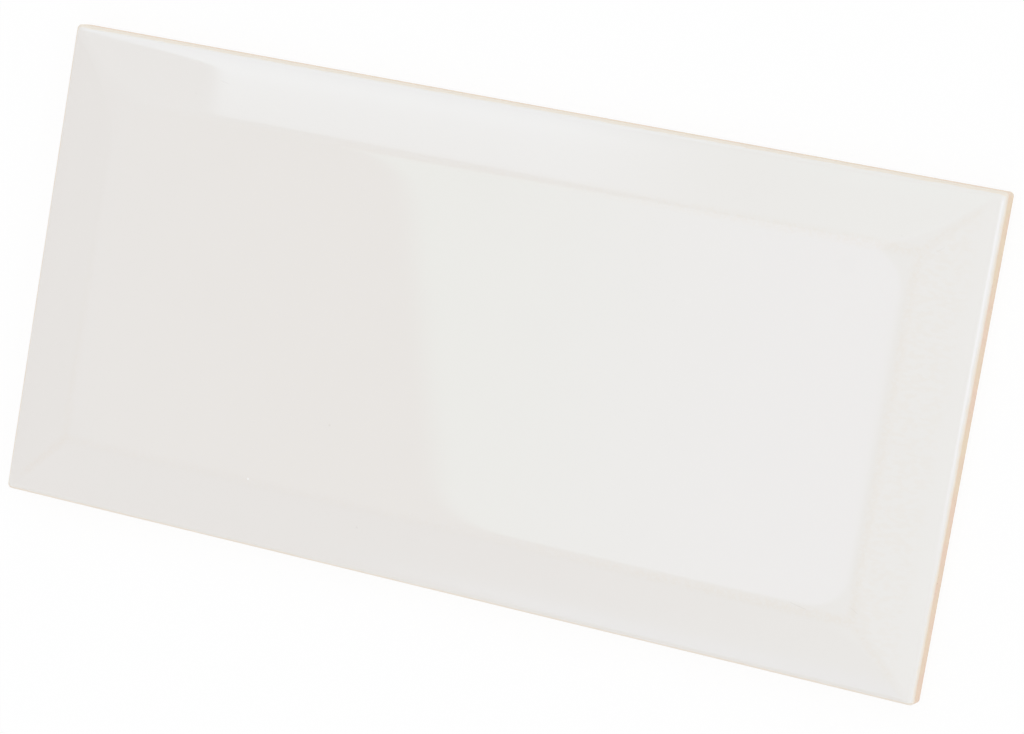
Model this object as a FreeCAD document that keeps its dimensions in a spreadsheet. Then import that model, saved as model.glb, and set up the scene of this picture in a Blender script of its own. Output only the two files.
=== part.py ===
# A bevelled ceramic wall tile, pressed and fired as one piece, lying on its back.
# Millimetres. X runs along the tile, Y across it and Z up out of the glazed face.
# The origin is the middle of the back.
import FreeCAD, Part
import Sketcher
import math
import os

NODE = "bevelled_wall_tile"

# Two heights closer than this are the same height.
TOUCH = 1e-6

# Places on a drawn line or arc, and the axes and origin of a sketch.
START, END, CENTRE = 1, 2, 3
ACROSS, UPRIGHT, ORIGIN = -1, -2, 1

# Driving dimensions: alias, value and what it measures.
SIZES = [
    ("tile_length", 150.0, "long side of the back"),
    ("tile_width", 74.6, "short side of the back"),
    ("tile_thickness", 6.9, "back to the flat field of the face"),
    ("rim_height", 4.5, "back to the corner in which side and bevel would meet"),
    ("side_draft", 0.1, "how far that corner stands in from the edge of the back"),
    ("bevel_width", 10.6, "that corner to the crease of the field, seen from above"),
    ("lip_radius", 1.3, "rolled lip between side and bevel"),
    ("shoulder_radius", 8.0, "soft crease between bevel and field"),
    ("corner_radius", 0.6, "four upright corners"),
    ("back_arris", 0.4, "eased edge around the back"),
    ("key_length", 134.0, "one keying groove in the back, end to end"),
    ("key_width", 5.0, "one keying groove, side to side"),
    ("key_depth", 0.5, "one keying groove, into the back"),
    ("key_pitch", 10.0, "middle of one groove to the middle of the next"),
    ("key_count", 6, "keying grooves side by side"),
    ("trim_margin", 5.0, "room around the tile for the cut that shapes its ends"),
]

doc = FreeCAD.newDocument("tile")
sheet = doc.addObject("Spreadsheet::Sheet", "sizes")
for row, (alias, value, meaning) in enumerate(SIZES, start=1):
    sheet.set("A%d" % row, alias)
    sheet.set("B%d" % row, str(value))
    sheet.set("C%d" % row, meaning)
    sheet.setAlias("B%d" % row, alias)
doc.recompute()

body = doc.addObject("PartDesign::Body", "tile_body")
body.Label = NODE


def size(alias):
    """The number that the sheet holds under this alias."""
    return float(sheet.get(alias))


def origin_feature(role):
    """One of the body's own origin planes or axes."""
    for feature in body.Origin.OriginFeatures:
        if feature.Role == role:
            return feature
    raise ValueError("the body has no " + role)


def new_sketch(name, plane):
    """An empty sketch on one of the body's origin planes."""
    sketch = body.newObject("Sketcher::SketchObject", name)
    sketch.AttachmentSupport = [(origin_feature(plane), "")]
    sketch.MapMode = "FlatFace"
    return sketch


def bind(sketch, constraint, name, expression):
    """Adds a dimension to a sketch, names it and binds it to the sheet."""
    index = sketch.addConstraint(constraint)
    sketch.renameConstraint(index, name)
    sketch.setExpression("Constraints." + name, expression)


def rounded_corner(before, corner, after, radius):
    """Start, end and arc of a round that eases the corner between two straight runs."""
    arriving = (corner - before).normalize()
    leaving = (after - corner).normalize()
    turn = arriving.getAngle(leaving)
    setback = radius * math.tan(turn / 2)
    start = corner - arriving * setback
    end = corner + leaving * setback
    inward = FreeCAD.Vector(-arriving.y, arriving.x, 0)
    first_angle = math.atan2(-inward.y, -inward.x)
    circle = Part.Circle(start + inward * radius, FreeCAD.Vector(0, 0, 1), radius)
    return start, end, Part.ArcOfCircle(circle, first_angle, first_angle + turn)


def section_sketch(name, plane, span_alias):
    """The tile's section across one of its two directions, closed and symmetric.

    It runs along the back, up the drafted side, round the lip, up the bevel,
    over the shoulder, across the field and down the other side.
    """
    sketch = new_sketch(name, plane)
    half = size(span_alias) / 2
    rim_reach = half - size("side_draft")
    crease_reach = rim_reach - size("bevel_width")
    back_right = FreeCAD.Vector(half, 0, 0)
    rim_right = FreeCAD.Vector(rim_reach, size("rim_height"), 0)
    crease_right = FreeCAD.Vector(crease_reach, size("tile_thickness"), 0)
    crease_left = FreeCAD.Vector(-crease_right.x, crease_right.y, 0)
    rim_left = FreeCAD.Vector(-rim_right.x, rim_right.y, 0)
    back_left = FreeCAD.Vector(-back_right.x, 0, 0)

    lip_r = rounded_corner(back_right, rim_right, crease_right, size("lip_radius"))
    shoulder_r = rounded_corner(rim_right, crease_right, crease_left, size("shoulder_radius"))
    shoulder_l = rounded_corner(crease_right, crease_left, rim_left, size("shoulder_radius"))
    lip_l = rounded_corner(crease_left, rim_left, back_left, size("lip_radius"))

    back = sketch.addGeometry(Part.LineSegment(back_left, back_right))
    side_r = sketch.addGeometry(Part.LineSegment(back_right, lip_r[0]))
    lip_arc_r = sketch.addGeometry(lip_r[2])
    bevel_r = sketch.addGeometry(Part.LineSegment(lip_r[1], shoulder_r[0]))
    shoulder_arc_r = sketch.addGeometry(shoulder_r[2])
    field = sketch.addGeometry(Part.LineSegment(shoulder_r[1], shoulder_l[0]))
    shoulder_arc_l = sketch.addGeometry(shoulder_l[2])
    bevel_l = sketch.addGeometry(Part.LineSegment(shoulder_l[1], lip_l[0]))
    lip_arc_l = sketch.addGeometry(lip_l[2])
    side_l = sketch.addGeometry(Part.LineSegment(lip_l[1], back_left))
    rim_point = sketch.addGeometry(Part.Point(rim_right), True)
    crease_point = sketch.addGeometry(Part.Point(crease_right), True)

    around = [side_r, lip_arc_r, bevel_r, shoulder_arc_r, field,
              shoulder_arc_l, bevel_l, lip_arc_l, side_l]
    for one, following in zip(around, around[1:]):
        sketch.addConstraint(Sketcher.Constraint("Tangent", one, END, following, START))
    sketch.addConstraint(Sketcher.Constraint("Coincident", back, END, side_r, START))
    sketch.addConstraint(Sketcher.Constraint("Coincident", side_l, END, back, START))

    sketch.addConstraint(Sketcher.Constraint("Horizontal", back))
    sketch.addConstraint(Sketcher.Constraint("Symmetric", back, START, back, END, ACROSS, ORIGIN))
    sketch.addConstraint(Sketcher.Constraint("Symmetric", field, START, field, END, UPRIGHT))
    sketch.addConstraint(Sketcher.Constraint("Symmetric", bevel_r, START, bevel_l, END, UPRIGHT))
    sketch.addConstraint(Sketcher.Constraint("Equal", lip_arc_r, lip_arc_l))
    sketch.addConstraint(Sketcher.Constraint("Equal", shoulder_arc_r, shoulder_arc_l))
    for point, straight in ((rim_point, side_r), (rim_point, bevel_r),
                            (crease_point, bevel_r), (crease_point, field)):
        sketch.addConstraint(Sketcher.Constraint("PointOnObject", point, START, straight))

    bind(sketch, Sketcher.Constraint("DistanceX", back, START, back, END, 2 * half),
         "span", "sizes." + span_alias)
    bind(sketch, Sketcher.Constraint("DistanceY", ACROSS, ORIGIN, field, START, crease_right.y),
         "thickness", "sizes.tile_thickness")
    bind(sketch, Sketcher.Constraint("DistanceY", ACROSS, ORIGIN, rim_point, START, rim_right.y),
         "rim", "sizes.rim_height")
    bind(sketch, Sketcher.Constraint("DistanceX", rim_point, START, back, END, size("side_draft")),
         "draft", "sizes.side_draft")
    bind(sketch, Sketcher.Constraint("DistanceX", crease_point, START, rim_point, START,
                                     size("bevel_width")),
         "bevel", "sizes.bevel_width")
    bind(sketch, Sketcher.Constraint("Radius", lip_arc_r, size("lip_radius")),
         "lip", "sizes.lip_radius")
    bind(sketch, Sketcher.Constraint("Radius", shoulder_arc_r, size("shoulder_radius")),
         "shoulder", "sizes.shoulder_radius")
    return sketch


def add_rectangle(sketch, low, high):
    """Four joined lines of a rectangle between two opposite corners."""
    corners = [low, FreeCAD.Vector(high.x, low.y, 0), high, FreeCAD.Vector(low.x, high.y, 0)]
    lines = []
    for corner, following in zip(corners, corners[1:] + corners[:1]):
        lines.append(sketch.addGeometry(Part.LineSegment(corner, following)))
    for line, following in zip(lines, lines[1:] + lines[:1]):
        sketch.addConstraint(Sketcher.Constraint("Coincident", line, END, following, START))
    for line, direction in zip(lines, ("Horizontal", "Vertical", "Horizontal", "Vertical")):
        sketch.addConstraint(Sketcher.Constraint(direction, line))
    return lines


def finish_step(what, before=math.inf):
    """Recomputes the document and returns the body's volume, which each step must make smaller."""
    doc.recompute()
    shape = body.Shape
    if shape.isNull() or not shape.isValid():
        raise RuntimeError("the tile's shape failed at: " + what)
    if shape.Volume >= before:
        raise RuntimeError("nothing was taken away at: " + what)
    return shape.Volume


# The long prism of the crosswise section.
crosswise = section_sketch("crosswise_section", "YZ_Plane", "tile_width")
bar = body.newObject("PartDesign::Pad", "bar")
bar.Profile = crosswise
bar.SideType = "Symmetric"
bar.setExpression("Length", "sizes.tile_length")
volume = finish_step("bar")

# The two ends take the same section, so the bevels meet in mitred hips.
lengthwise = section_sketch("lengthwise_section", "XZ_Plane", "tile_length")
margin = size("trim_margin")
low_corner = FreeCAD.Vector(-size("tile_length") / 2 - margin, -margin, 0)
high_corner = FreeCAD.Vector(-low_corner.x, size("tile_thickness") + margin, 0)
trim = add_rectangle(lengthwise, low_corner, high_corner)
trim_bottom, trim_top = trim[0], trim[2]
bind(lengthwise,
     Sketcher.Constraint("DistanceX", trim_bottom, START, trim_bottom, END, 2 * high_corner.x),
     "trim_span", "sizes.tile_length + 2 * sizes.trim_margin")
bind(lengthwise, Sketcher.Constraint("DistanceX", trim_bottom, START, ACROSS, ORIGIN, high_corner.x),
     "trim_left", "sizes.tile_length / 2 + sizes.trim_margin")
bind(lengthwise, Sketcher.Constraint("DistanceY", trim_bottom, START, ACROSS, ORIGIN, margin),
     "trim_below", "sizes.trim_margin")
bind(lengthwise, Sketcher.Constraint("DistanceY", ACROSS, ORIGIN, trim_top, START, high_corner.y),
     "trim_above", "sizes.tile_thickness + sizes.trim_margin")
ends = body.newObject("PartDesign::Pocket", "shaped_ends")
ends.Profile = lengthwise
ends.Type = "ThroughAll"
ends.SideType = "Symmetric"
volume = finish_step("shaped ends", volume)


def edges_where(feature, wanted):
    """Names of a feature's edges for which the test on their end points holds."""
    names = []
    for number, edge in enumerate(feature.Shape.Edges, start=1):
        if wanted([vertex.Point for vertex in edge.Vertexes]):
            names.append("Edge%d" % number)
    return names


def is_upright(points):
    """True for an edge that leaves the back and climbs a corner of the sides."""
    heights = sorted(point.z for point in points)
    return abs(heights[0]) < TOUCH and heights[-1] > size("back_arris")


def is_on_back(points):
    """True for an edge that lies in the plane of the back."""
    return all(abs(point.z) < TOUCH for point in points)


def stadium(sketch, length_alias, width_alias):
    """A slot with round ends, centred on the sketch's upright axis."""
    radius = size(width_alias) / 2
    reach = size(length_alias) / 2 - radius
    middle = -(size("key_count") - 1) * size("key_pitch") / 2
    up = FreeCAD.Vector(0, 0, 1)
    right_middle = FreeCAD.Vector(reach, middle, 0)
    left_middle = FreeCAD.Vector(-reach, middle, 0)
    to_edge = FreeCAD.Vector(0, radius, 0)
    quarter = math.pi / 2
    lower = sketch.addGeometry(Part.LineSegment(left_middle - to_edge, right_middle - to_edge))
    right_end = sketch.addGeometry(
        Part.ArcOfCircle(Part.Circle(right_middle, up, radius), -quarter, quarter))
    upper = sketch.addGeometry(Part.LineSegment(right_middle + to_edge, left_middle + to_edge))
    left_end = sketch.addGeometry(
        Part.ArcOfCircle(Part.Circle(left_middle, up, radius), quarter, 3 * quarter))
    around = [lower, right_end, upper, left_end]
    for one, following in zip(around, around[1:] + around[:1]):
        sketch.addConstraint(Sketcher.Constraint("Tangent", one, END, following, START))
    sketch.addConstraint(Sketcher.Constraint("Equal", right_end, left_end))
    sketch.addConstraint(Sketcher.Constraint("Symmetric", right_end, CENTRE, left_end, CENTRE, UPRIGHT))
    bind(sketch, Sketcher.Constraint("Radius", right_end, radius),
         "half_width", "sizes.%s / 2" % width_alias)
    bind(sketch, Sketcher.Constraint("DistanceX", left_end, CENTRE, right_end, CENTRE, 2 * reach),
         "straight_run", "sizes.%s - sizes.%s" % (length_alias, width_alias))
    bind(sketch, Sketcher.Constraint("DistanceY", right_end, CENTRE, ACROSS, ORIGIN, -middle),
         "first_groove", "(sizes.key_count - 1) * sizes.key_pitch / 2")


# The upright corners are rounded, and the round runs on up the hips.
corners = body.newObject("PartDesign::Fillet", "rounded_corners")
corners.Base = (ends, edges_where(ends, is_upright))
corners.setExpression("Radius", "sizes.corner_radius")
volume = finish_step("rounded corners", volume)

# The edge around the back is eased.
arris = body.newObject("PartDesign::Fillet", "eased_back")
arris.Base = (corners, edges_where(corners, is_on_back))
arris.setExpression("Radius", "sizes.back_arris")
volume = finish_step("eased back", volume)

# Shallow grooves in the back give the adhesive a key.
groove_sketch = new_sketch("groove_outline", "XY_Plane")
stadium(groove_sketch, "key_length", "key_width")
groove = body.newObject("PartDesign::Pocket", "key_groove")
groove.Profile = groove_sketch
groove.Reversed = True
groove.setExpression("Length", "sizes.key_depth")
volume = finish_step("key groove", volume)

grooves = body.newObject("PartDesign::LinearPattern", "key_grooves")
grooves.Originals = [groove]
grooves.Direction = (origin_feature("Y_Axis"), [""])
grooves.Mode = "Spacing"
grooves.setExpression("Offset", "sizes.key_pitch")
grooves.setExpression("Occurrences", "sizes.key_count")
body.Tip = grooves
finish_step("key grooves", volume)

for item in doc.Objects:
    if "Invalid" in item.State or "Error" in item.State:
        raise RuntimeError(item.Label + " failed: " + ", ".join(item.State))
if len(body.Shape.Solids) != 1:
    raise RuntimeError("the tile is not one solid")

os.makedirs("parts", exist_ok=True)
body.Shape.exportStep("parts/%s.step" % body.Label)
box = body.Shape.BoundBox
print("%s: %.2f x %.2f x %.2f mm, %.0f mm3"
      % (body.Label, box.XLength, box.YLength, box.ZLength, body.Shape.Volume))
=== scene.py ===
"""A bevelled ceramic wall tile: the fired piece, its glaze and bare clay, and a plain studio.

Lengths are metres in the tile's own frame: X along it, Y across it, Z up out of the glazed face.
"""
import math
from collections import namedtuple

import bmesh
import bpy
from bpy.props import FloatProperty, FloatVectorProperty, IntProperty, PointerProperty
from mathutils import Matrix, Vector


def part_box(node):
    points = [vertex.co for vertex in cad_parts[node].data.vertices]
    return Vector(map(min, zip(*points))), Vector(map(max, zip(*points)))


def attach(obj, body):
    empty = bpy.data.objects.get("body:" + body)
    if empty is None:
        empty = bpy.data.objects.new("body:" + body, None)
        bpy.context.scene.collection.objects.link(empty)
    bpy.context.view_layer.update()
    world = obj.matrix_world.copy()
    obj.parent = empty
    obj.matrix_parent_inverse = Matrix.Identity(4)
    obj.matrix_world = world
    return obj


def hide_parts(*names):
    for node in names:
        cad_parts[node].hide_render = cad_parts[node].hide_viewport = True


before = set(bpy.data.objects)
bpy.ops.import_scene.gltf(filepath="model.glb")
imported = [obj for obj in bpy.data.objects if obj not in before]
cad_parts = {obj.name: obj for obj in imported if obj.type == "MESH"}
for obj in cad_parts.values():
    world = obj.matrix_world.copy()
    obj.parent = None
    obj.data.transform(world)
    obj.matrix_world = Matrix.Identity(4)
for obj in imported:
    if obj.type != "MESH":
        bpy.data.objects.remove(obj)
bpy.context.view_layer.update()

bl_info = {
    "name": "Bevelled Wall Tile",
    "version": (1, 0, 0),
    "blender": (4, 5, 0),
    "location": "View3D > Sidebar > Tile",
    "description": "Models a glazed bevelled wall tile and the studio that shows it",
    "category": "Add Mesh",
}

NODE = "bevelled_wall_tile"
PIECE = "fired_tile"
BODY = "root"
LOW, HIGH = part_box(NODE)
MM = 0.001
MICRON = 0.001 * MM

# Number of straight steps that stand for each run or arc of the tile's skin.
CORNER_STEPS = 12
ARRIS_STEPS = 5
SIDE_STEPS = 6
LIP_STEPS = 18
BEVEL_STEPS = 24
SHOULDER_STEPS = 14
FIELD_STEPS = 8
KEY_END_STEPS = 8

# How the skin is laid out: size of its faces, which edges are split, and how its runs and caps are spaced.
FACE_SIZE = 2.5 * MM
LONG_EDGE = 2.5 * FACE_SIZE
STRAIGHT_SHARE = 0.999
RUN_POWER = 1.5
HIP_POWER = 3
MARGIN_SHARE = 0.25
KEY_END_SHARE = 0.49
KEY_OVERCUT = 1.0 * MM
LEVEL_GAP = 0.2 * MICRON
SMOOTH_ANGLE = math.radians(35)

# Small firing marks on the face: how strong each is, and where it lies along X and Y.
DARK_SPECKS = (
    (0.10, (-20.2 * MM, -15.6 * MM)),
    (0.08, (-13.4 * MM, -30.1 * MM)),
    (0.04, (-51.5 * MM, 30.0 * MM)),
    (0.03, (61.6 * MM, 28.6 * MM)),
)
PALE_SPECK = (-32.2 * MM, -26.5 * MM)
SMUDGE = (54.6 * MM, 23.2 * MM)
HAIRLINES = (
    (0.06, (-48.0 * MM, 32.6 * MM), (-46.5 * MM, 32.3 * MM)),
    (0.09, (55.3 * MM, -26.0 * MM), (57.8 * MM, -26.5 * MM)),
    (0.07, (64.1 * MM, -24.8 * MM), (65.3 * MM, -25.5 * MM)),
    (0.06, (66.9 * MM, 27.3 * MM), (67.9 * MM, 28.1 * MM)),
)
SPECK_RADIUS = 0.22 * MM
SMUDGE_RADIUS = 1.7 * MM
HAIRLINE_WIDTH = 0.12 * MM
SPOT_CORE = 0.25
SMUDGE_SHARE = 0.12
SMUDGE_SHADE = 0.95
PALE_SHARE = 0.8
PALE_COLOUR = (0.95, 0.95, 0.95, 1.0)
MARK_SHADE = 0.35

# Range in which most of the cloudy noise lies.
NOISE_SPREAD = (-0.2, 0.2)

# Thin glaze on the ridges: where it starts and ends, how strong it is, and how its mottling is grained.
CREASE_SHIFT = 0.3 * MM
BEVEL_START = (1.8 * MM, 4.2 * MM)
BEVEL_END = 1.0 * MM
RIDGE_SHARE = 0.6
RIDGE_LEFT = 0.5
RIDGE_GAIN = 0.8
RIDGE_RUN = (0.0, 62.0 * MM)
SLANT = 1.2
SLANT_RUN = (-95.0 * MM, -35.0 * MM)
MOTTLE_SIZE = 0.5 * MM
MOTTLE_LEAST = 0.35
MOTTLE_SPAN = 1.3
SPECKLE_SIZE = 0.7 * MM
SPECKLE_STRETCH = (0.5, 1.0, 1.0)
SPECKLE_SPREAD = (-0.10, 0.14)
SPECKLE_SHARE = 0.65
RIGHT_END = (60.0 * MM, 66.0 * MM)
HIP_BLUR = 0.5 * MM

# Edge of the glaze: how ragged it is, how far in from each side it rises, and how softly it ends.
RUN_SIZE = 3.0 * MM
RUN_DEPTH = 0.7 * MM
NICK_SIZE = 0.6 * MM
NICK_DEPTH = 0.35 * MM
SIDE_EDGE = (-0.8 * MM, -0.2 * MM)
LEFT_EDGE = (-1.0 * MM, -0.4 * MM)
GLAZE_BLUR = 0.2 * MM
WASH_BELOW = 0.25 * MM
WASH_ABOVE = 0.35 * MM

# Body of the glaze: faint clouds in its white, slow ripples and its refractive index.
CLOUD_SIZE = 9.0 * MM
CLOUD_SPREAD = (-0.25, 0.25)
CLOUD_LOW = 0.998
CLOUD_HIGH = 1.002
RIPPLE_SIZE = 16.0 * MM
GLAZE_IOR = 1.6

# Bare clay: size, tint and share of its patches, fine grain and grit.
PATCH_SIZE = 4.0 * MM
PINKISH = (1.0, 0.96, 0.97)
YELLOWISH = (0.985, 1.03, 0.98)
FINE_SIZE = 0.35 * MM
FINE_SHARE = 0.10
FINE_SHADE = 0.6
GRIT_SIZE = 0.5 * MM
GRIT_SPREAD = (0.2, 0.28)
GRIT_SHARE = 0.35
GRIT_SHADE = 0.45

# Studio: floor, camera and the limits of the light.
WHITE = (1.0, 1.0, 1.0, 1.0)
BRIGHTEST = 4.0
LEAST_RISE = 0.05
FLOOR_SIZE = 4.0
FLOOR_GAP = 0.05 * MM
SENSOR_WIDTH = 36.0
NEAREST = 0.01

# Shapes of light in the tent. Corners lie on a ceiling one metre over the tile, counter-clockwise
# from above. Each edge, from the first corner's on, fades over its own width.
Pane = namedtuple("Pane", ("corners", "fades"))
UPPER_GLOW = Pane(((-0.42, 0.42), (0.00, 0.42), (0.00, 0.66), (-0.42, 0.66)), (0.15, 0.15, 0.12, 0.05))
SHADED_PART = Pane(((-1.60, -1.30), (-0.37, -1.30), (-0.37, 0.95), (-1.60, 0.95)),
                   (0.40, 0.12, 0.06, 0.40))
LEFT_SHADE = Pane(((-6.0, -1.60), (-1.40, -0.55), (-1.40, 0.10), (-6.0, 0.20)), (0.15, 0.30, 0.15, 0.50))
NEAR_SHADE = Pane(((-5.8, -9.0), (-1.20, -9.0), (-0.20, -1.50), (-0.95, -1.50)), (0.50, 0.10, 0.30, 0.10))
LOWER_GLOW = Pane(((-0.50, -1.15), (-0.12, -1.15), (-0.12, -0.78), (-0.50, -0.78)),
                  (0.15, 0.08, 0.06, 0.08))
DARK_PART = Pane(((-0.52, -0.30), (-0.34, -0.30), (-0.34, 0.20), (-0.52, 0.20)), (0.12, 0.04, 0.15, 0.08))
MAIN_PANE = Pane(((-0.3614, -0.268), (-0.203, -0.202), (-0.233, 0.400), (-0.444, 0.020)),
                 (0.012, 0.015, 0.030, 0.007))
BACK_PANE = Pane(((-0.5368, 0.410), (-0.360, 0.410), (-0.600, 1.800), (-0.860, 1.800)),
                 (0.060, 0.045, 0.200, 0.005))
BACK_WING = Pane(((-0.543, 0.453), (-0.500, 0.453), (-0.600, 1.800), (-1.385, 1.800)),
                 (0.012, 0.010, 0.200, 0.004))
RIGHT_SHADE = Pane(((1.0, -0.60), (4.5, -1.60), (4.5, -0.50), (1.0, -0.10)), (0.10, 0.50, 0.05, 0.20))
SIDE_PANE = Pane(((1.2, -0.18), (4.5, -0.65), (4.5, 0.80), (1.2, 0.20)), (0.10, 0.50, 0.15, 0.15))

# Stretches of the ceiling over which the main pane changes along X and the back pane along Y.
MAIN_FADE = (-0.42, -0.26)
BACK_FADE = (0.43, 0.68)


def length_property(name, description, default):
    """A length that a user can change, in metres."""
    return FloatProperty(name=name, description=description, default=default, unit="LENGTH", precision=5)


def angle_property(name, description, degrees):
    """An angle that a user can change."""
    return FloatProperty(name=name, description=description, default=math.radians(degrees), unit="ROTATION")


def colour_property(name, description, default, most=1.0):
    """A linear colour that a user can change."""
    return FloatVectorProperty(name=name, description=description, default=default, subtype="COLOR",
                               size=3, min=0.0, max=most)


def light_property(name, description, default):
    """A linear colour of light that a user can change, and that may be brighter than white."""
    return colour_property(name, description, default, BRIGHTEST)


def factor_property(name, description, default):
    """A share between none and all that a user can change."""
    return FloatProperty(name=name, description=description, default=default, min=0.0, max=1.0,
                         subtype="FACTOR")


class TileShape(bpy.types.PropertyGroup):
    """Sizes of the pressed tile."""

    length: length_property("Length", "Long side of the back", HIGH.x - LOW.x)
    width: length_property("Width", "Short side of the back", HIGH.y - LOW.y)
    thickness: length_property("Thickness", "Back to the flat field of the face", HIGH.z - LOW.z)
    rim_height: length_property("Rim height", "Back to where side and bevel would meet", 4.5 * MM)
    side_draft: length_property("Side draft", "How far the rim stands in from the back", 0.1 * MM)
    bevel_width: length_property("Bevel width", "Rim to crease, seen from above", 10.6 * MM)
    lip_radius: length_property("Lip radius", "Rolled lip between side and bevel", 1.3 * MM)
    lip_sink: length_property("Lip sink", "How far the lip lies under the bevel's plane", 0.09 * MM)
    lip_roll: angle_property("Lip roll", "Extra slope with which the bevel leaves the lip", 5.0)
    field_sink: length_property("Field sink", "How far the shoulder lies under the field", 0.03 * MM)
    field_roll: angle_property("Field roll", "Slope with which the field leaves the shoulder", 1.4)
    field_run: length_property("Field run", "Width over which the field settles flat", 6.0 * MM)
    shoulder_radius: length_property("Shoulder radius", "Soft crease around the field", 8.0 * MM)
    corner_radius: length_property("Corner radius", "Upright corners", 0.6 * MM)
    foot_radius: length_property("Foot radius", "Corners of the foot of the bevel", 1.1 * MM)
    field_radius: length_property("Field radius", "Corners of the flat field", 6.5 * MM)
    back_arris: length_property("Back arris", "Eased edge around the back", 0.4 * MM)
    key_length: length_property("Key length", "One keying groove, end to end", 134.0 * MM)
    key_width: length_property("Key width", "One keying groove, side to side", 5.0 * MM)
    key_depth: length_property("Key depth", "One keying groove, into the back", 0.5 * MM)
    key_pitch: length_property("Key pitch", "One groove's middle to the next", 10.0 * MM)
    key_count: IntProperty(name="Key count", description="Keying grooves side by side", default=6)


class TileFinish(bpy.types.PropertyGroup):
    """Colours and gloss of the glaze and of the bare clay."""

    glaze: colour_property("Glaze", "White gloss glaze on the face", (0.822, 0.8040, 0.7755))
    ridge: colour_property("Ridge", "Glaze where it thins over a ridge", (0.813, 0.7810, 0.7360))
    wash: colour_property("Wash", "Thin glaze where the lip turns down", (0.82, 0.75, 0.66))
    clay: colour_property("Clay", "Bare fired clay of the sides and back", (0.81, 0.645, 0.507))
    glaze_roughness: factor_property("Glaze roughness", "Blur of the glaze's reflections", 0.015)
    clay_roughness: factor_property("Clay roughness", "Dullness of the bare clay", 0.85)
    glaze_end: length_property("Glaze end", "Height at which the white glaze ends", 3.96 * MM)
    wash_end: length_property("Wash end", "Height at which the thin wash ends", 3.30 * MM)
    crease_width: length_property("Crease width", "Half width of the thin glaze along the crease", 1.3 * MM)
    hip_width: length_property("Hip width", "Half width of the thin glaze down a hip", 1.6 * MM)
    side_rise: length_property("Side rise", "How much higher the glaze ends on all sides but +X", 0.58 * MM)
    side_wash: factor_property("Side wash", "How much thin wash covers those sides", 0.38)
    ripple_depth: length_property("Ripple depth", "Slow waves in the glaze", 2.0 * MICRON)
    grain_depth: length_property("Grain depth", "Grain of the bare clay", 60.0 * MICRON)


class TileStudio(bpy.types.PropertyGroup):
    """Camera and light."""

    aim_x: length_property("Aim X", "Point on the floor in the middle of the picture", 4.729 * MM)
    aim_y: length_property("Aim Y", "Point on the floor in the middle of the picture", -1.935 * MM)
    distance: length_property("Distance", "Camera to that point", 471.80 * MM)
    azimuth: angle_property("Azimuth", "Turn of the camera from the X axis", 18.105)
    elevation: angle_property("Elevation", "Height of the camera over the floor", 68.707)
    roll: angle_property("Roll", "Turn of the camera about its own line of sight", -97.291)
    lens: FloatProperty(name="Lens", description="Focal length", default=110.36, unit="CAMERA")
    tent: light_property("Tent", "Soft light from all around", (1.027, 1.046, 1.029))
    glow: light_property("Upper glow", "Brighter part beside the back pane", (1.23, 1.43, 1.375))
    lower_glow: light_property("Lower glow", "Brighter part that the near lip mirrors", (1.10, 1.22, 1.42))
    shaded: light_property("Shaded parts", "Dim parts of the tent", (0.705, 0.604, 0.597))
    dark: light_property("Dark part", "Dimmest part, beside the main pane", (0.771, 0.613, 0.508))
    main_left: light_property("Main light left", "Left of the pane that the field mirrors",
                              (1.136, 1.370, 1.200))
    main_right: light_property("Main light right", "Right of the pane that the field mirrors",
                               (1.457, 1.529, 1.763))
    back_low: light_property("Back light low", "Foot of the pane that the long bevel mirrors",
                             (1.82, 2.02, 2.24))
    back_high: light_property("Back light high", "Upper part of that pane", (1.34, 1.46, 1.78))
    side_light: light_property("Side light", "Pane that the right lip mirrors", (2.00, 2.05, 2.55))
    floor: colour_property("Floor", "Plain pale floor", (0.97, 0.97, 0.97))
    floor_white: factor_property("Floor white", "Share of plain white that the camera sees", 0.9)


class Signal:
    """One number in a shader. Arithmetic on it adds Math nodes to its tree."""

    def __init__(self, socket):
        self.socket = socket
        self.tree = socket.id_data

    @staticmethod
    def node(tree, kind, settings=None, inputs=None):
        """Adds a node: first its settings, then the values or links of its sockets."""
        made = tree.nodes.new(kind)
        for key, value in (settings or {}).items():
            setattr(made, key, value)
        for key, value in (inputs or {}).items():
            if isinstance(value, Signal):
                value = value.socket
            if isinstance(value, bpy.types.NodeSocket):
                tree.links.new(value, made.inputs[key])
            else:
                made.inputs[key].default_value = value
        return made

    def math(self, operation, first, second=0.0):
        made = self.node(self.tree, "ShaderNodeMath", {"operation": operation}, {0: first, 1: second})
        return Signal(made.outputs[0])

    def __add__(self, other):
        return self.math("ADD", self, other)

    def __radd__(self, other):
        return self.math("ADD", other, self)

    def __sub__(self, other):
        return self.math("SUBTRACT", self, other)

    def __rsub__(self, other):
        return self.math("SUBTRACT", other, self)

    def __mul__(self, other):
        return self.math("MULTIPLY", self, other)

    def __rmul__(self, other):
        return self.math("MULTIPLY", other, self)

    def __truediv__(self, other):
        return self.math("DIVIDE", self, other)

    def __abs__(self):
        return self.math("ABSOLUTE", self)

    def least(self, other):
        """The smaller of two numbers."""
        return self.math("MINIMUM", self, other)

    def most(self, other):
        """The larger of two numbers."""
        return self.math("MAXIMUM", self, other)


def ramp(value, low, high):
    """Rises smoothly from 0 to 1 as a value goes from low to high."""
    made = Signal.node(value.tree, "ShaderNodeMapRange", {"interpolation_type": "SMOOTHSTEP"},
                       {"Value": value, "From Min": low, "From Max": high})
    return Signal(made.outputs["Result"])


def blend_colours(tree, share, first, second):
    """A colour that goes from the first to the second as the share goes from 0 to 1."""
    made = Signal.node(tree, "ShaderNodeMix", {"data_type": "RGBA"},
                       {0: share, 6: first, 7: second})
    return made.outputs[2]


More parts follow.
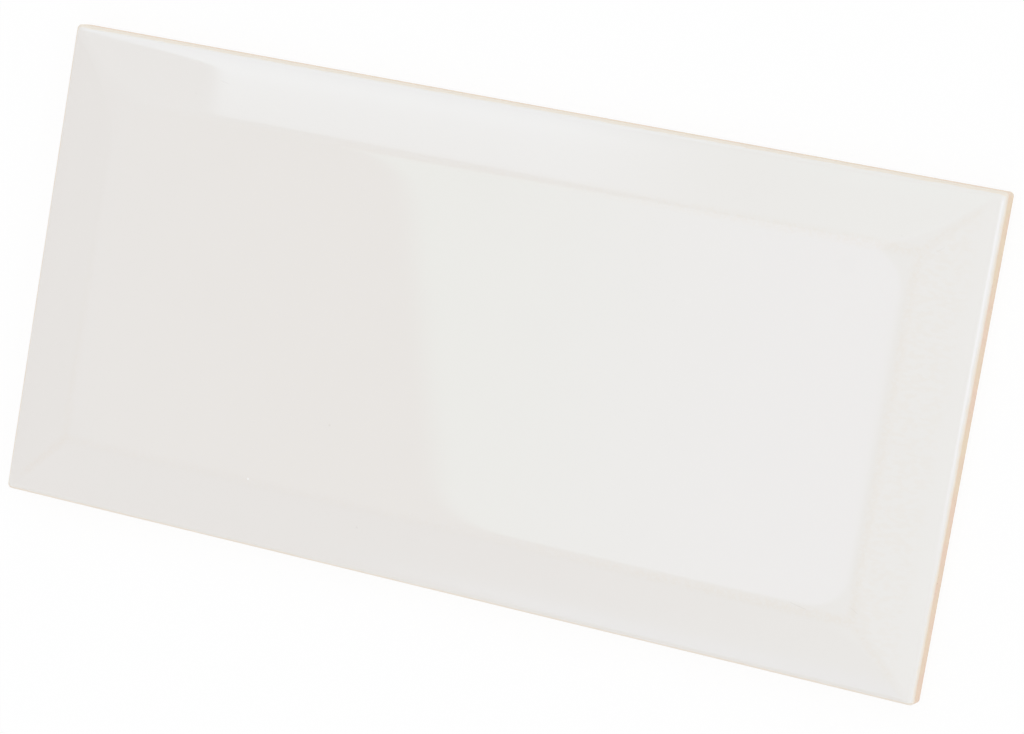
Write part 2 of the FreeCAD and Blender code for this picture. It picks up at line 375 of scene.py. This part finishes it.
def grain(tree, place, size, detail=2.0, roughness=0.5):
    """Cloudy noise about zero, with lumps of about the given size."""
    made = Signal.node(tree, "ShaderNodeTexNoise", {"noise_dimensions": "3D"},
                       {"Vector": place, "Scale": 1.0 / size, "Detail": detail, "Roughness": roughness})
    return Signal(made.outputs["Fac"]) - 0.5


def opaque(colour):
    """A colour with full alpha, as sockets take it."""
    return (colour[0], colour[1], colour[2], 1.0)


def scaled(colour, factor):
    """A colour made darker or lighter all over."""
    return opaque([channel * factor for channel in colour])


def tinted(colour, tint):
    """A colour with each of its channels scaled by a tint."""
    return opaque([channel * share for channel, share in zip(colour, tint)])


def empty_tree(owner):
    """The emptied node tree of a material or a world."""
    owner.use_nodes = True
    owner.node_tree.nodes.clear()
    return owner.node_tree


def thin_on_ridges(tree, place, split, shape, finish):
    """Where the glaze thins: mottled along the crease and down the hips, speckled on the right bevel."""
    x = Signal(split.outputs["X"])
    y = Signal(split.outputs["Y"])
    end_gap = shape.length / 2 - abs(x)
    side_gap = shape.width / 2 - abs(y)
    inset = end_gap.least(side_gap)
    crease_inset = shape.side_draft + shape.bevel_width - CREASE_SHIFT
    crease = 1.0 - ramp(abs(inset - crease_inset), 0.0, finish.crease_width)
    hip = 1.0 - ramp(abs(end_gap - side_gap), 0.0, finish.hip_width)
    on_bevel = ramp(inset, *BEVEL_START) * (1.0 - ramp(inset, crease_inset, crease_inset + BEVEL_END))

    mottle = MOTTLE_LEAST + ramp(grain(tree, place, MOTTLE_SIZE, 3.0), *NOISE_SPREAD) * MOTTLE_SPAN
    lengthwise = RIDGE_LEFT + ramp(x, *RIDGE_RUN) * RIDGE_GAIN
    strength = ramp(x - y * SLANT, *SLANT_RUN) * mottle
    ridges = (crease * lengthwise * RIDGE_SHARE).most(hip * on_bevel * RIDGE_SHARE) * strength

    streaked = Signal.node(tree, "ShaderNodeMapping", None, {"Vector": place, "Scale": SPECKLE_STRETCH})
    speckle = ramp(grain(tree, streaked.outputs[0], SPECKLE_SIZE, 3.0), *SPECKLE_SPREAD)
    denser_inwards = ramp(inset, -crease_inset, crease_inset)
    right_bevel = ramp(x, *RIGHT_END) * ramp(side_gap - end_gap, -HIP_BLUR, HIP_BLUR) * on_bevel
    return ridges.most(right_bevel * speckle * denser_inwards * SPECKLE_SHARE)


def spot(split, centre, radius):
    """1 in the middle of a soft round spot on the face and 0 outside it."""
    x_gap = Signal(split.outputs["X"]) - centre[0]
    y_gap = Signal(split.outputs["Y"]) - centre[1]
    return 1.0 - ramp(x_gap * x_gap + y_gap * y_gap, SPOT_CORE * radius ** 2, radius ** 2)


def hairline(split, start, end, width):
    """1 on a short fine line on the face and 0 away from it."""
    run = Vector(end) - Vector(start)
    half = run.length / 2
    way = run.normalized()
    middle = (Vector(start) + Vector(end)) / 2
    x_gap = Signal(split.outputs["X"]) - middle.x
    y_gap = Signal(split.outputs["Y"]) - middle.y
    beside = abs(y_gap * way.x - x_gap * way.y)
    onward = abs(x_gap * way.x + y_gap * way.y)
    return (1.0 - ramp(beside, 0.0, width)) * (1.0 - ramp(onward, half - width, half + width))


def firing_marks(tree, split, finish, face):
    """The face's colour with its few specks, hairlines and one faint smudge."""
    marks = [spot(split, centre, SPECK_RADIUS) * strength for strength, centre in DARK_SPECKS]
    marks += [hairline(split, start, end, HAIRLINE_WIDTH) * strength for strength, start, end in HAIRLINES]
    dark = marks[0]
    for mark in marks[1:]:
        dark = dark.most(mark)
    smudge = spot(split, SMUDGE, SMUDGE_RADIUS) * SMUDGE_SHARE
    pale = spot(split, PALE_SPECK, SPECK_RADIUS) * PALE_SHARE
    smudged = blend_colours(tree, smudge, face, scaled(finish.glaze, SMUDGE_SHADE))
    specked = blend_colours(tree, dark, smudged, scaled(finish.clay, MARK_SHADE))
    return blend_colours(tree, pale, specked, PALE_COLOUR)


def bare_clay(tree, place, finish):
    """Tan fired clay: slow warm and pale patches, fine grain and dark grit."""
    patches = ramp(grain(tree, place, PATCH_SIZE), *NOISE_SPREAD)
    fine = ramp(grain(tree, place, FINE_SIZE, 4.0, 0.7), *NOISE_SPREAD)
    grit = ramp(grain(tree, place, GRIT_SIZE, 1.0), *GRIT_SPREAD)
    body = blend_colours(tree, patches, tinted(finish.clay, PINKISH), tinted(finish.clay, YELLOWISH))
    grained = blend_colours(tree, fine * FINE_SHARE, body, scaled(finish.clay, FINE_SHADE))
    return blend_colours(tree, grit * GRIT_SHARE, grained, scaled(finish.clay, GRIT_SHADE))


def fired_finish(shape, finish):
    """White gloss glaze over the face, a thin wash on the lip and bare clay below it."""
    material = bpy.data.materials.new("fired_tile")
    tree = empty_tree(material)
    place = Signal.node(tree, "ShaderNodeTexCoord").outputs["Object"]
    split = Signal.node(tree, "ShaderNodeSeparateXYZ", None, {0: place})

    runs = grain(tree, place, RUN_SIZE) * RUN_DEPTH
    nicks = grain(tree, place, NICK_SIZE) * NICK_DEPTH
    ragged = Signal(split.outputs["Z"]) + runs + nicks
    side_reach = abs(Signal(split.outputs["Y"])) - shape.width / 2
    left_reach = -shape.length / 2 - Signal(split.outputs["X"])
    rise = ramp(side_reach, *SIDE_EDGE).most(ramp(left_reach, *LEFT_EDGE))
    glazed = ramp(ragged - rise * finish.side_rise, finish.glaze_end - GLAZE_BLUR,
                  finish.glaze_end + GLAZE_BLUR)
    lip_wash = ramp(ragged, finish.wash_end - WASH_BELOW, finish.wash_end + WASH_ABOVE)
    washed = lip_wash.most(rise * finish.side_wash)

    clouds = ramp(grain(tree, place, CLOUD_SIZE, 3.0), *CLOUD_SPREAD)
    white = blend_colours(tree, clouds, scaled(finish.glaze, CLOUD_LOW), scaled(finish.glaze, CLOUD_HIGH))
    thin = thin_on_ridges(tree, place, split, shape, finish)
    face = firing_marks(tree, split, finish, blend_colours(tree, thin, white, opaque(finish.ridge)))
    edge = blend_colours(tree, washed, bare_clay(tree, place, finish), opaque(finish.wash))
    colour = blend_colours(tree, glazed, edge, face)

    gloss = finish.clay_roughness + glazed * (finish.glaze_roughness - finish.clay_roughness)
    ripple = grain(tree, place, RIPPLE_SIZE, 1.0) * finish.ripple_depth
    tooth = grain(tree, place, FINE_SIZE, 3.0, 0.6) * finish.grain_depth
    relief = ripple * glazed + tooth * (1.0 - washed)
    bump = Signal.node(tree, "ShaderNodeBump", None, {"Strength": 1.0, "Distance": 1.0, "Height": relief})
    shader = Signal.node(tree, "ShaderNodeBsdfPrincipled", None,
                         {"Base Color": colour, "Roughness": gloss, "Normal": bump.outputs[0],
                          "IOR": GLAZE_IOR})
    Signal.node(tree, "ShaderNodeOutputMaterial", None, {"Surface": shader.outputs[0]})
    return material


def rounded_corner(before, corner, after, radius, steps, short=0.0):
    """Points of the arc that eases the corner between two runs of a section, stopped short by an angle."""
    arriving = (corner - before).normalized()
    leaving = (after - corner).normalized()
    turn = arriving.angle(leaving)
    inward = (leaving - arriving).normalized()
    centre = corner + inward * (radius / math.cos(turn / 2))
    start = corner - arriving * (radius * math.tan(turn / 2)) - centre
    sense = 1.0 if arriving.x * leaving.y - arriving.y * leaving.x > 0 else -1.0
    points = []
    for step in range(steps + 1):
        angle = sense * (turn - short) * step / steps
        points.append(centre + Matrix.Rotation(angle, 2) @ start)
    return points


def points_between(first, last, count):
    """Evenly spaced points strictly between two ends."""
    return [first.lerp(last, step / (count + 1)) for step in range(1, count + 1)]


def settling_run(start, first, last, roll, end, count):
    """Points that leave an arc with a little extra slope and settle onto the line from first to last."""
    slope = (last.y - first.y) / (last.x - first.x)
    extra = math.tan(math.atan(slope) + roll) - slope
    gap = first.y + slope * (start.x - first.x) - start.y
    points = []
    for step in range(1, count + 1):
        run = (end - start.x) * (step / (count + 1)) ** RUN_POWER
        line = first.y + slope * (start.x + run - first.x)
        points.append(Vector((start.x + run, line - gap * math.exp(-extra * run / gap))))
    return points


def section_points(shape):
    """The tile's edge section from the back to the field, as inset from the side and height."""
    sunk = Vector((0.0, shape.field_sink))
    middle_back = Vector((shape.width / 2, 0.0))
    back_edge = Vector((0.0, 0.0))
    rim = Vector((shape.side_draft, shape.rim_height)) - sunk
    field_edge = Vector((shape.side_draft + shape.bevel_width, shape.thickness))
    middle_field = Vector((shape.width / 2, shape.thickness))
    crease = field_edge - sunk
    arris = rounded_corner(middle_back, back_edge, rim, shape.back_arris, ARRIS_STEPS)
    lip = rounded_corner(back_edge, rim, crease, shape.lip_radius, LIP_STEPS, shape.lip_roll)
    shoulder = rounded_corner(rim, crease, middle_field - sunk, shape.shoulder_radius, SHOULDER_STEPS,
                              shape.field_roll)
    on_bevel = rim.lerp(crease, (lip[-1].x - rim.x) / (crease.x - rim.x))
    drop = Vector((0.0, shape.lip_sink - (on_bevel.y - lip[-1].y)))
    lip = [point - drop for point in lip]
    side = points_between(arris[-1], lip[0], SIDE_STEPS)
    bevel = settling_run(lip[-1], rim, crease, shape.lip_roll, shoulder[0].x, BEVEL_STEPS)
    field_end = shoulder[-1].x + shape.field_run
    field = settling_run(shoulder[-1], field_edge, middle_field, shape.field_roll, field_end, FIELD_STEPS)
    return arris + side + lip + bevel + shoulder + field


def corner_at(shape, inset):
    """Corner radius of the outline at an inset: tight on the sides, wider up the hips."""
    crease_inset = shape.side_draft + shape.bevel_width
    if inset < shape.lip_radius:
        share = max(inset, 0.0) / shape.lip_radius
        return shape.corner_radius + (shape.foot_radius - shape.corner_radius) * share
    share = min((inset - shape.lip_radius) / (crease_inset - shape.lip_radius), 1.0)
    return shape.foot_radius + (shape.field_radius - shape.foot_radius) * share ** HIP_POWER


def start_mesh(name):
    """An empty mesh object at the origin, open in edit mode."""
    bpy.ops.object.select_all(action="DESELECT")
    bpy.ops.mesh.primitive_plane_add(size=1, location=(0, 0, 0))
    piece = bpy.context.active_object
    piece.name = name
    piece.data.name = name
    bpy.ops.object.mode_set(mode="EDIT")
    bpy.ops.mesh.delete(type="VERT")
    return piece


def add_outline(length, width, middle, corner_radius, steps):
    """Adds a level rectangle with rounded corners to the mesh that is being edited."""
    bpy.ops.mesh.select_all(action="DESELECT")
    bpy.ops.mesh.primitive_plane_add(size=1, location=middle)
    bpy.ops.transform.resize(value=(length, width, 1), center_override=middle)
    bpy.ops.mesh.bevel(affect="VERTICES", offset=corner_radius, segments=steps, profile=0.5)


def select_edges(piece, wanted):
    """Selects the edges for which a test on their two ends holds, and nothing else."""
    bpy.ops.mesh.select_mode(type="EDGE")
    bpy.ops.mesh.select_all(action="DESELECT")
    sheet = bmesh.from_edit_mesh(piece.data)
    for edge in sheet.edges:
        if wanted(*edge.verts):
            edge.select_set(True)
    bmesh.update_edit_mesh(piece.data)


def bridge_outlines(piece, count, ring):
    """Skins a stack of outlines that have the same number of corners each."""
    for lower in range(count - 1):
        first = lower * ring
        last = first + 2 * ring
        select_edges(piece, lambda one, two: first <= one.index < last and first <= two.index < last)
        bpy.ops.mesh.bridge_edge_loops(type="SINGLE")


def cap_outline(piece, height, margin):
    """Closes the outline at a height with a flat face that has a narrow margin around it."""

    def is_level(one, two):
        return max(abs(one.co.z - height), abs(two.co.z - height)) < LEVEL_GAP

    select_edges(piece, is_level)
    bpy.ops.mesh.edge_face_add()
    bpy.ops.mesh.inset(thickness=margin)


def split_long_edges(piece, axis):
    """Divides the long straight edges along one axis, so that the skin is made of short faces."""
    reach = max(abs(vertex.co[axis]) for vertex in bmesh.from_edit_mesh(piece.data).verts)

    def is_long(one, two):
        run = two.co - one.co
        return abs(run[axis]) > LONG_EDGE and abs(run[axis]) > STRAIGHT_SHARE * run.length

    select_edges(piece, is_long)
    bpy.ops.mesh.subdivide(number_cuts=int(2 * reach / FACE_SIZE))


def press_body(shape):
    """The tile's closed skin: outlines stacked from the back up to the field and bridged."""
    ring = 4 * (CORNER_STEPS + 1)
    piece = start_mesh(PIECE)
    points = section_points(shape)
    for inset, height in points:
        add_outline(shape.length - 2 * inset, shape.width - 2 * inset, (0, 0, height),
                    corner_at(shape, inset), CORNER_STEPS)
        bpy.ops.mesh.delete(type="ONLY_FACE")
    bridge_outlines(piece, len(points), ring)
    cap_outline(piece, points[-1].y, MARGIN_SHARE * shape.field_radius)
    cap_outline(piece, 0.0, MARGIN_SHARE * shape.corner_radius)
    split_long_edges(piece, 0)
    split_long_edges(piece, 1)
    bpy.ops.mesh.select_all(action="SELECT")
    bpy.ops.mesh.normals_make_consistent(inside=False)
    bpy.ops.object.mode_set(mode="OBJECT")
    return piece


def key_cutter(shape):
    """Solid bars that are cut out of the back to leave its keying grooves."""
    piece = start_mesh("key_cutter")
    end_radius = KEY_END_SHARE * shape.key_width
    first = -(shape.key_count - 1) * shape.key_pitch / 2
    for number in range(shape.key_count):
        middle = (0.0, first + number * shape.key_pitch, shape.key_depth)
        add_outline(shape.key_length, shape.key_width, middle, end_radius, KEY_END_STEPS)
        bpy.ops.mesh.extrude_region_move(
            TRANSFORM_OT_translate={"value": (0, 0, -shape.key_depth - KEY_OVERCUT)})
    bpy.ops.mesh.select_all(action="SELECT")
    bpy.ops.mesh.normals_make_consistent(inside=False)
    bpy.ops.object.mode_set(mode="OBJECT")
    return piece


def cut_keys(piece, cutter):
    """Cuts the grooves into the back and removes the cutter."""
    bpy.ops.object.select_all(action="DESELECT")
    piece.select_set(True)
    bpy.context.view_layer.objects.active = piece
    cut = piece.modifiers.new("keys", "BOOLEAN")
    cut.operation = "DIFFERENCE"
    cut.solver = "EXACT"
    cut.object = cutter
    bpy.ops.object.modifier_apply(modifier=cut.name)
    bpy.data.objects.remove(cutter)


class TILE_OT_press(bpy.types.Operator):
    """Models the tile, glazes it and lets it stand for its CAD node"""

    bl_idname = "tile.press"
    bl_label = "Press Tile"

    def execute(self, context):
        shape = context.scene.tile_shape
        piece = press_body(shape)
        cut_keys(piece, key_cutter(shape))
        bpy.ops.object.shade_smooth_by_angle(angle=SMOOTH_ANGLE)
        piece.data.materials.clear()
        piece.data.materials.append(fired_finish(shape, context.scene.tile_finish))
        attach(piece, BODY)
        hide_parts(NODE)
        return {"FINISHED"}


def seen_directly(tree):
    """1 for what the camera sees, also in a mirror or through glass, and 0 for light that is scattered."""
    path = Signal.node(tree, "ShaderNodeLightPath")
    camera = Signal(path.outputs["Is Camera Ray"])
    return camera.most(path.outputs["Is Glossy Ray"]).most(path.outputs["Is Transmission Ray"])


def floor_finish(studio):
    """A plain pale floor that looks white where no shadow falls."""
    material = bpy.data.materials.new("white_floor")
    tree = empty_tree(material)
    plain = Signal.node(tree, "ShaderNodeBsdfDiffuse", None, {"Color": opaque(studio.floor)})
    white = Signal.node(tree, "ShaderNodeEmission", None, {"Color": WHITE, "Strength": 1.0})
    share = seen_directly(tree) * studio.floor_white
    mixed = Signal.node(tree, "ShaderNodeMixShader", None,
                        {0: share, 1: plain.outputs[0], 2: white.outputs[0]})
    Signal.node(tree, "ShaderNodeOutputMaterial", None, {"Surface": mixed.outputs[0]})
    return material


def lay_floor(studio):
    """A wide floor just under the tile."""
    bpy.ops.object.select_all(action="DESELECT")
    bpy.ops.mesh.primitive_plane_add(size=FLOOR_SIZE, location=(0, 0, 0))
    floor = bpy.context.active_object
    floor.name = "floor"
    bpy.ops.object.mode_set(mode="EDIT")
    bpy.ops.transform.translate(value=(0, 0, LOW.z - FLOOR_GAP))
    bpy.ops.object.mode_set(mode="OBJECT")
    floor.data.materials.append(floor_finish(studio))


def pane_share(ceiling_x, ceiling_y, pane):
    """1 inside a shape on the ceiling and 0 outside it, with each edge faded over its own width."""
    share = 1.0
    for number, fade in enumerate(pane.fades):
        start = Vector(pane.corners[number])
        run = Vector(pane.corners[(number + 1) % len(pane.corners)]) - start
        inward = Vector((-run.y, run.x)).normalized()
        depth = (ceiling_x - start.x) * inward.x + (ceiling_y - start.y) * inward.y
        share = ramp(depth, -fade, fade) * share
    return share


def light_tent(studio):
    """A pale tent of light with dim parts and bright panes, and plain white to the camera."""
    world = bpy.data.worlds.new("studio")
    bpy.context.scene.world = world
    tree = empty_tree(world)
    way = Signal.node(tree, "ShaderNodeTexCoord").outputs["Generated"]
    split = Signal.node(tree, "ShaderNodeSeparateXYZ", None, {0: way})
    rise = Signal(split.outputs["Z"]).most(LEAST_RISE)
    ceiling_x = Signal(split.outputs["X"]) / rise
    ceiling_y = Signal(split.outputs["Y"]) / rise
    main_light = blend_colours(tree, ramp(ceiling_x, *MAIN_FADE), opaque(studio.main_left),
                               opaque(studio.main_right))
    back_light = blend_colours(tree, ramp(ceiling_y, *BACK_FADE), opaque(studio.back_low),
                               opaque(studio.back_high))
    shapes = (
        (UPPER_GLOW, opaque(studio.glow)),
        (SHADED_PART, opaque(studio.shaded)),
        (LEFT_SHADE, opaque(studio.shaded)),
        (NEAR_SHADE, opaque(studio.shaded)),
        (LOWER_GLOW, opaque(studio.lower_glow)),
        (DARK_PART, opaque(studio.dark)),
        (MAIN_PANE, main_light),
        (BACK_PANE, back_light),
        (BACK_WING, back_light),
        (RIGHT_SHADE, opaque(studio.shaded)),
        (SIDE_PANE, opaque(studio.side_light)),
    )
    light = opaque(studio.tent)
    for pane, colour in shapes:
        light = blend_colours(tree, pane_share(ceiling_x, ceiling_y, pane), light, colour)
    soft = Signal.node(tree, "ShaderNodeBackground", None, {"Color": light, "Strength": 1.0})
    white = Signal.node(tree, "ShaderNodeBackground", None, {"Color": WHITE, "Strength": 1.0})
    camera = Signal.node(tree, "ShaderNodeLightPath").outputs["Is Camera Ray"]
    mixed = Signal.node(tree, "ShaderNodeMixShader", None,
                        {0: camera, 1: soft.outputs[0], 2: white.outputs[0]})
    Signal.node(tree, "ShaderNodeOutputWorld", None, {"Surface": mixed.outputs[0]})


def set_camera(studio):
    """The camera at the photograph's viewing angle."""
    aim = Vector((studio.aim_x, studio.aim_y, 0.0))
    level = math.cos(studio.elevation)
    back = Vector((level * math.cos(studio.azimuth), level * math.sin(studio.azimuth),
                   math.sin(studio.elevation)))
    bpy.ops.object.camera_add(location=aim + back * studio.distance)
    camera = bpy.context.active_object
    camera.name = "photo_camera"
    turn = (-back).to_track_quat("-Z", "Y").to_matrix()
    camera.rotation_euler = (turn @ Matrix.Rotation(studio.roll, 3, "Z")).to_euler()
    camera.data.sensor_width = SENSOR_WIDTH
    camera.data.lens = studio.lens
    camera.data.clip_start = NEAREST
    bpy.context.scene.camera = camera


class TILE_OT_studio(bpy.types.Operator):
    """Lays the floor, lights the tent and sets the camera"""

    bl_idname = "tile.studio"
    bl_label = "Set Up Studio"

    def execute(self, context):
        studio = context.scene.tile_studio
        lay_floor(studio)
        light_tent(studio)
        set_camera(studio)
        context.scene.view_settings.view_transform = "Standard"
        return {"FINISHED"}


class TILE_PT_sidebar(bpy.types.Panel):
    """The tile's operators, in the sidebar"""

    bl_label = "Bevelled Wall Tile"
    bl_space_type = "VIEW_3D"
    bl_region_type = "UI"
    bl_category = "Tile"

    def draw(self, context):
        self.layout.operator(TILE_OT_press.bl_idname)
        self.layout.operator(TILE_OT_studio.bl_idname)


CLASSES = (TileShape, TileFinish, TileStudio, TILE_OT_press, TILE_OT_studio, TILE_PT_sidebar)


def register():
    for cls in CLASSES:
        bpy.utils.register_class(cls)
    bpy.types.Scene.tile_shape = PointerProperty(type=TileShape)
    bpy.types.Scene.tile_finish = PointerProperty(type=TileFinish)
    bpy.types.Scene.tile_studio = PointerProperty(type=TileStudio)


def unregister():
    del bpy.types.Scene.tile_studio
    del bpy.types.Scene.tile_finish
    del bpy.types.Scene.tile_shape
    for cls in reversed(CLASSES):
        bpy.utils.unregister_class(cls)


def main():
    register()
    bpy.ops.tile.press()
    bpy.ops.tile.studio()


if __name__ == "__main__":
    main()
